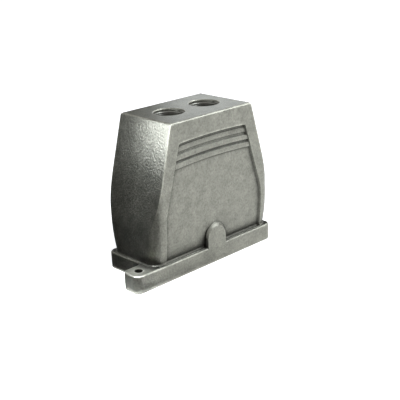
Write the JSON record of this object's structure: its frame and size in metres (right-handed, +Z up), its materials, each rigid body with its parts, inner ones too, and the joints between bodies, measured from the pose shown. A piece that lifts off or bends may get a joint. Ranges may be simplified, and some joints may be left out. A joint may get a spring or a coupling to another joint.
{
  "type": "heavy duty rectangular connector hood",
  "caption": "Tall die-cast rectangular connector hood with louvred recessed sides, threaded cable entries in its crown, diagonal screw tabs and a pin insert inside",
  "frame": {"origin": "centre of the flange's mating face, which is the face that it stands on", "axes": "+Z up through the crown and its cable entries, +X along the connector's long axis, with tabs at the -X -Y and +X +Y corners"},
  "size_m": [0.173, 0.0604, 0.126],
  "materials": {
    "cast_aluminium": "shot-blasted die casting",
    "seal_rubber": "matt",
    "insert_plastic": "moulded, fine texture",
    "contact_silver": "turned and silver plated",
    "earth_steel": "stamped, zinc plated",
    "screw_steel": "zinc plated"
  },
  "bodies": {
    "root": {"hood": "cast_aluminium", "mating_seal": "seal_rubber", "insert_body": "insert_plastic", "pin_01": "contact_silver", "pin_02": "contact_silver", "pin_03": "contact_silver", "pin_04": "contact_silver", "pin_05": "contact_silver", "pin_06": "contact_silver", "pin_07": "contact_silver", "pin_08": "contact_silver", "pin_09": "contact_silver", "pin_10": "contact_silver", "pin_11": "contact_silver", "pin_12": "contact_silver", "pin_13": "contact_silver", "pin_14": "contact_silver", "pin_15": "contact_silver", "pin_16": "contact_silver", "pin_17": "contact_silver", "pin_18": "contact_silver", "pin_19": "contact_silver", "pin_20": "contact_silver", "pin_21": "contact_silver", "pin_22": "contact_silver", "pin_23": "contact_silver", "pin_24": "contact_silver", "terminal_screws": "screw_steel", "pe_plate_left": "earth_steel", "pe_plate_right": "earth_steel", "pe_screws": "screw_steel", "insert_screws": "screw_steel"}
  },
  "joints": []
}
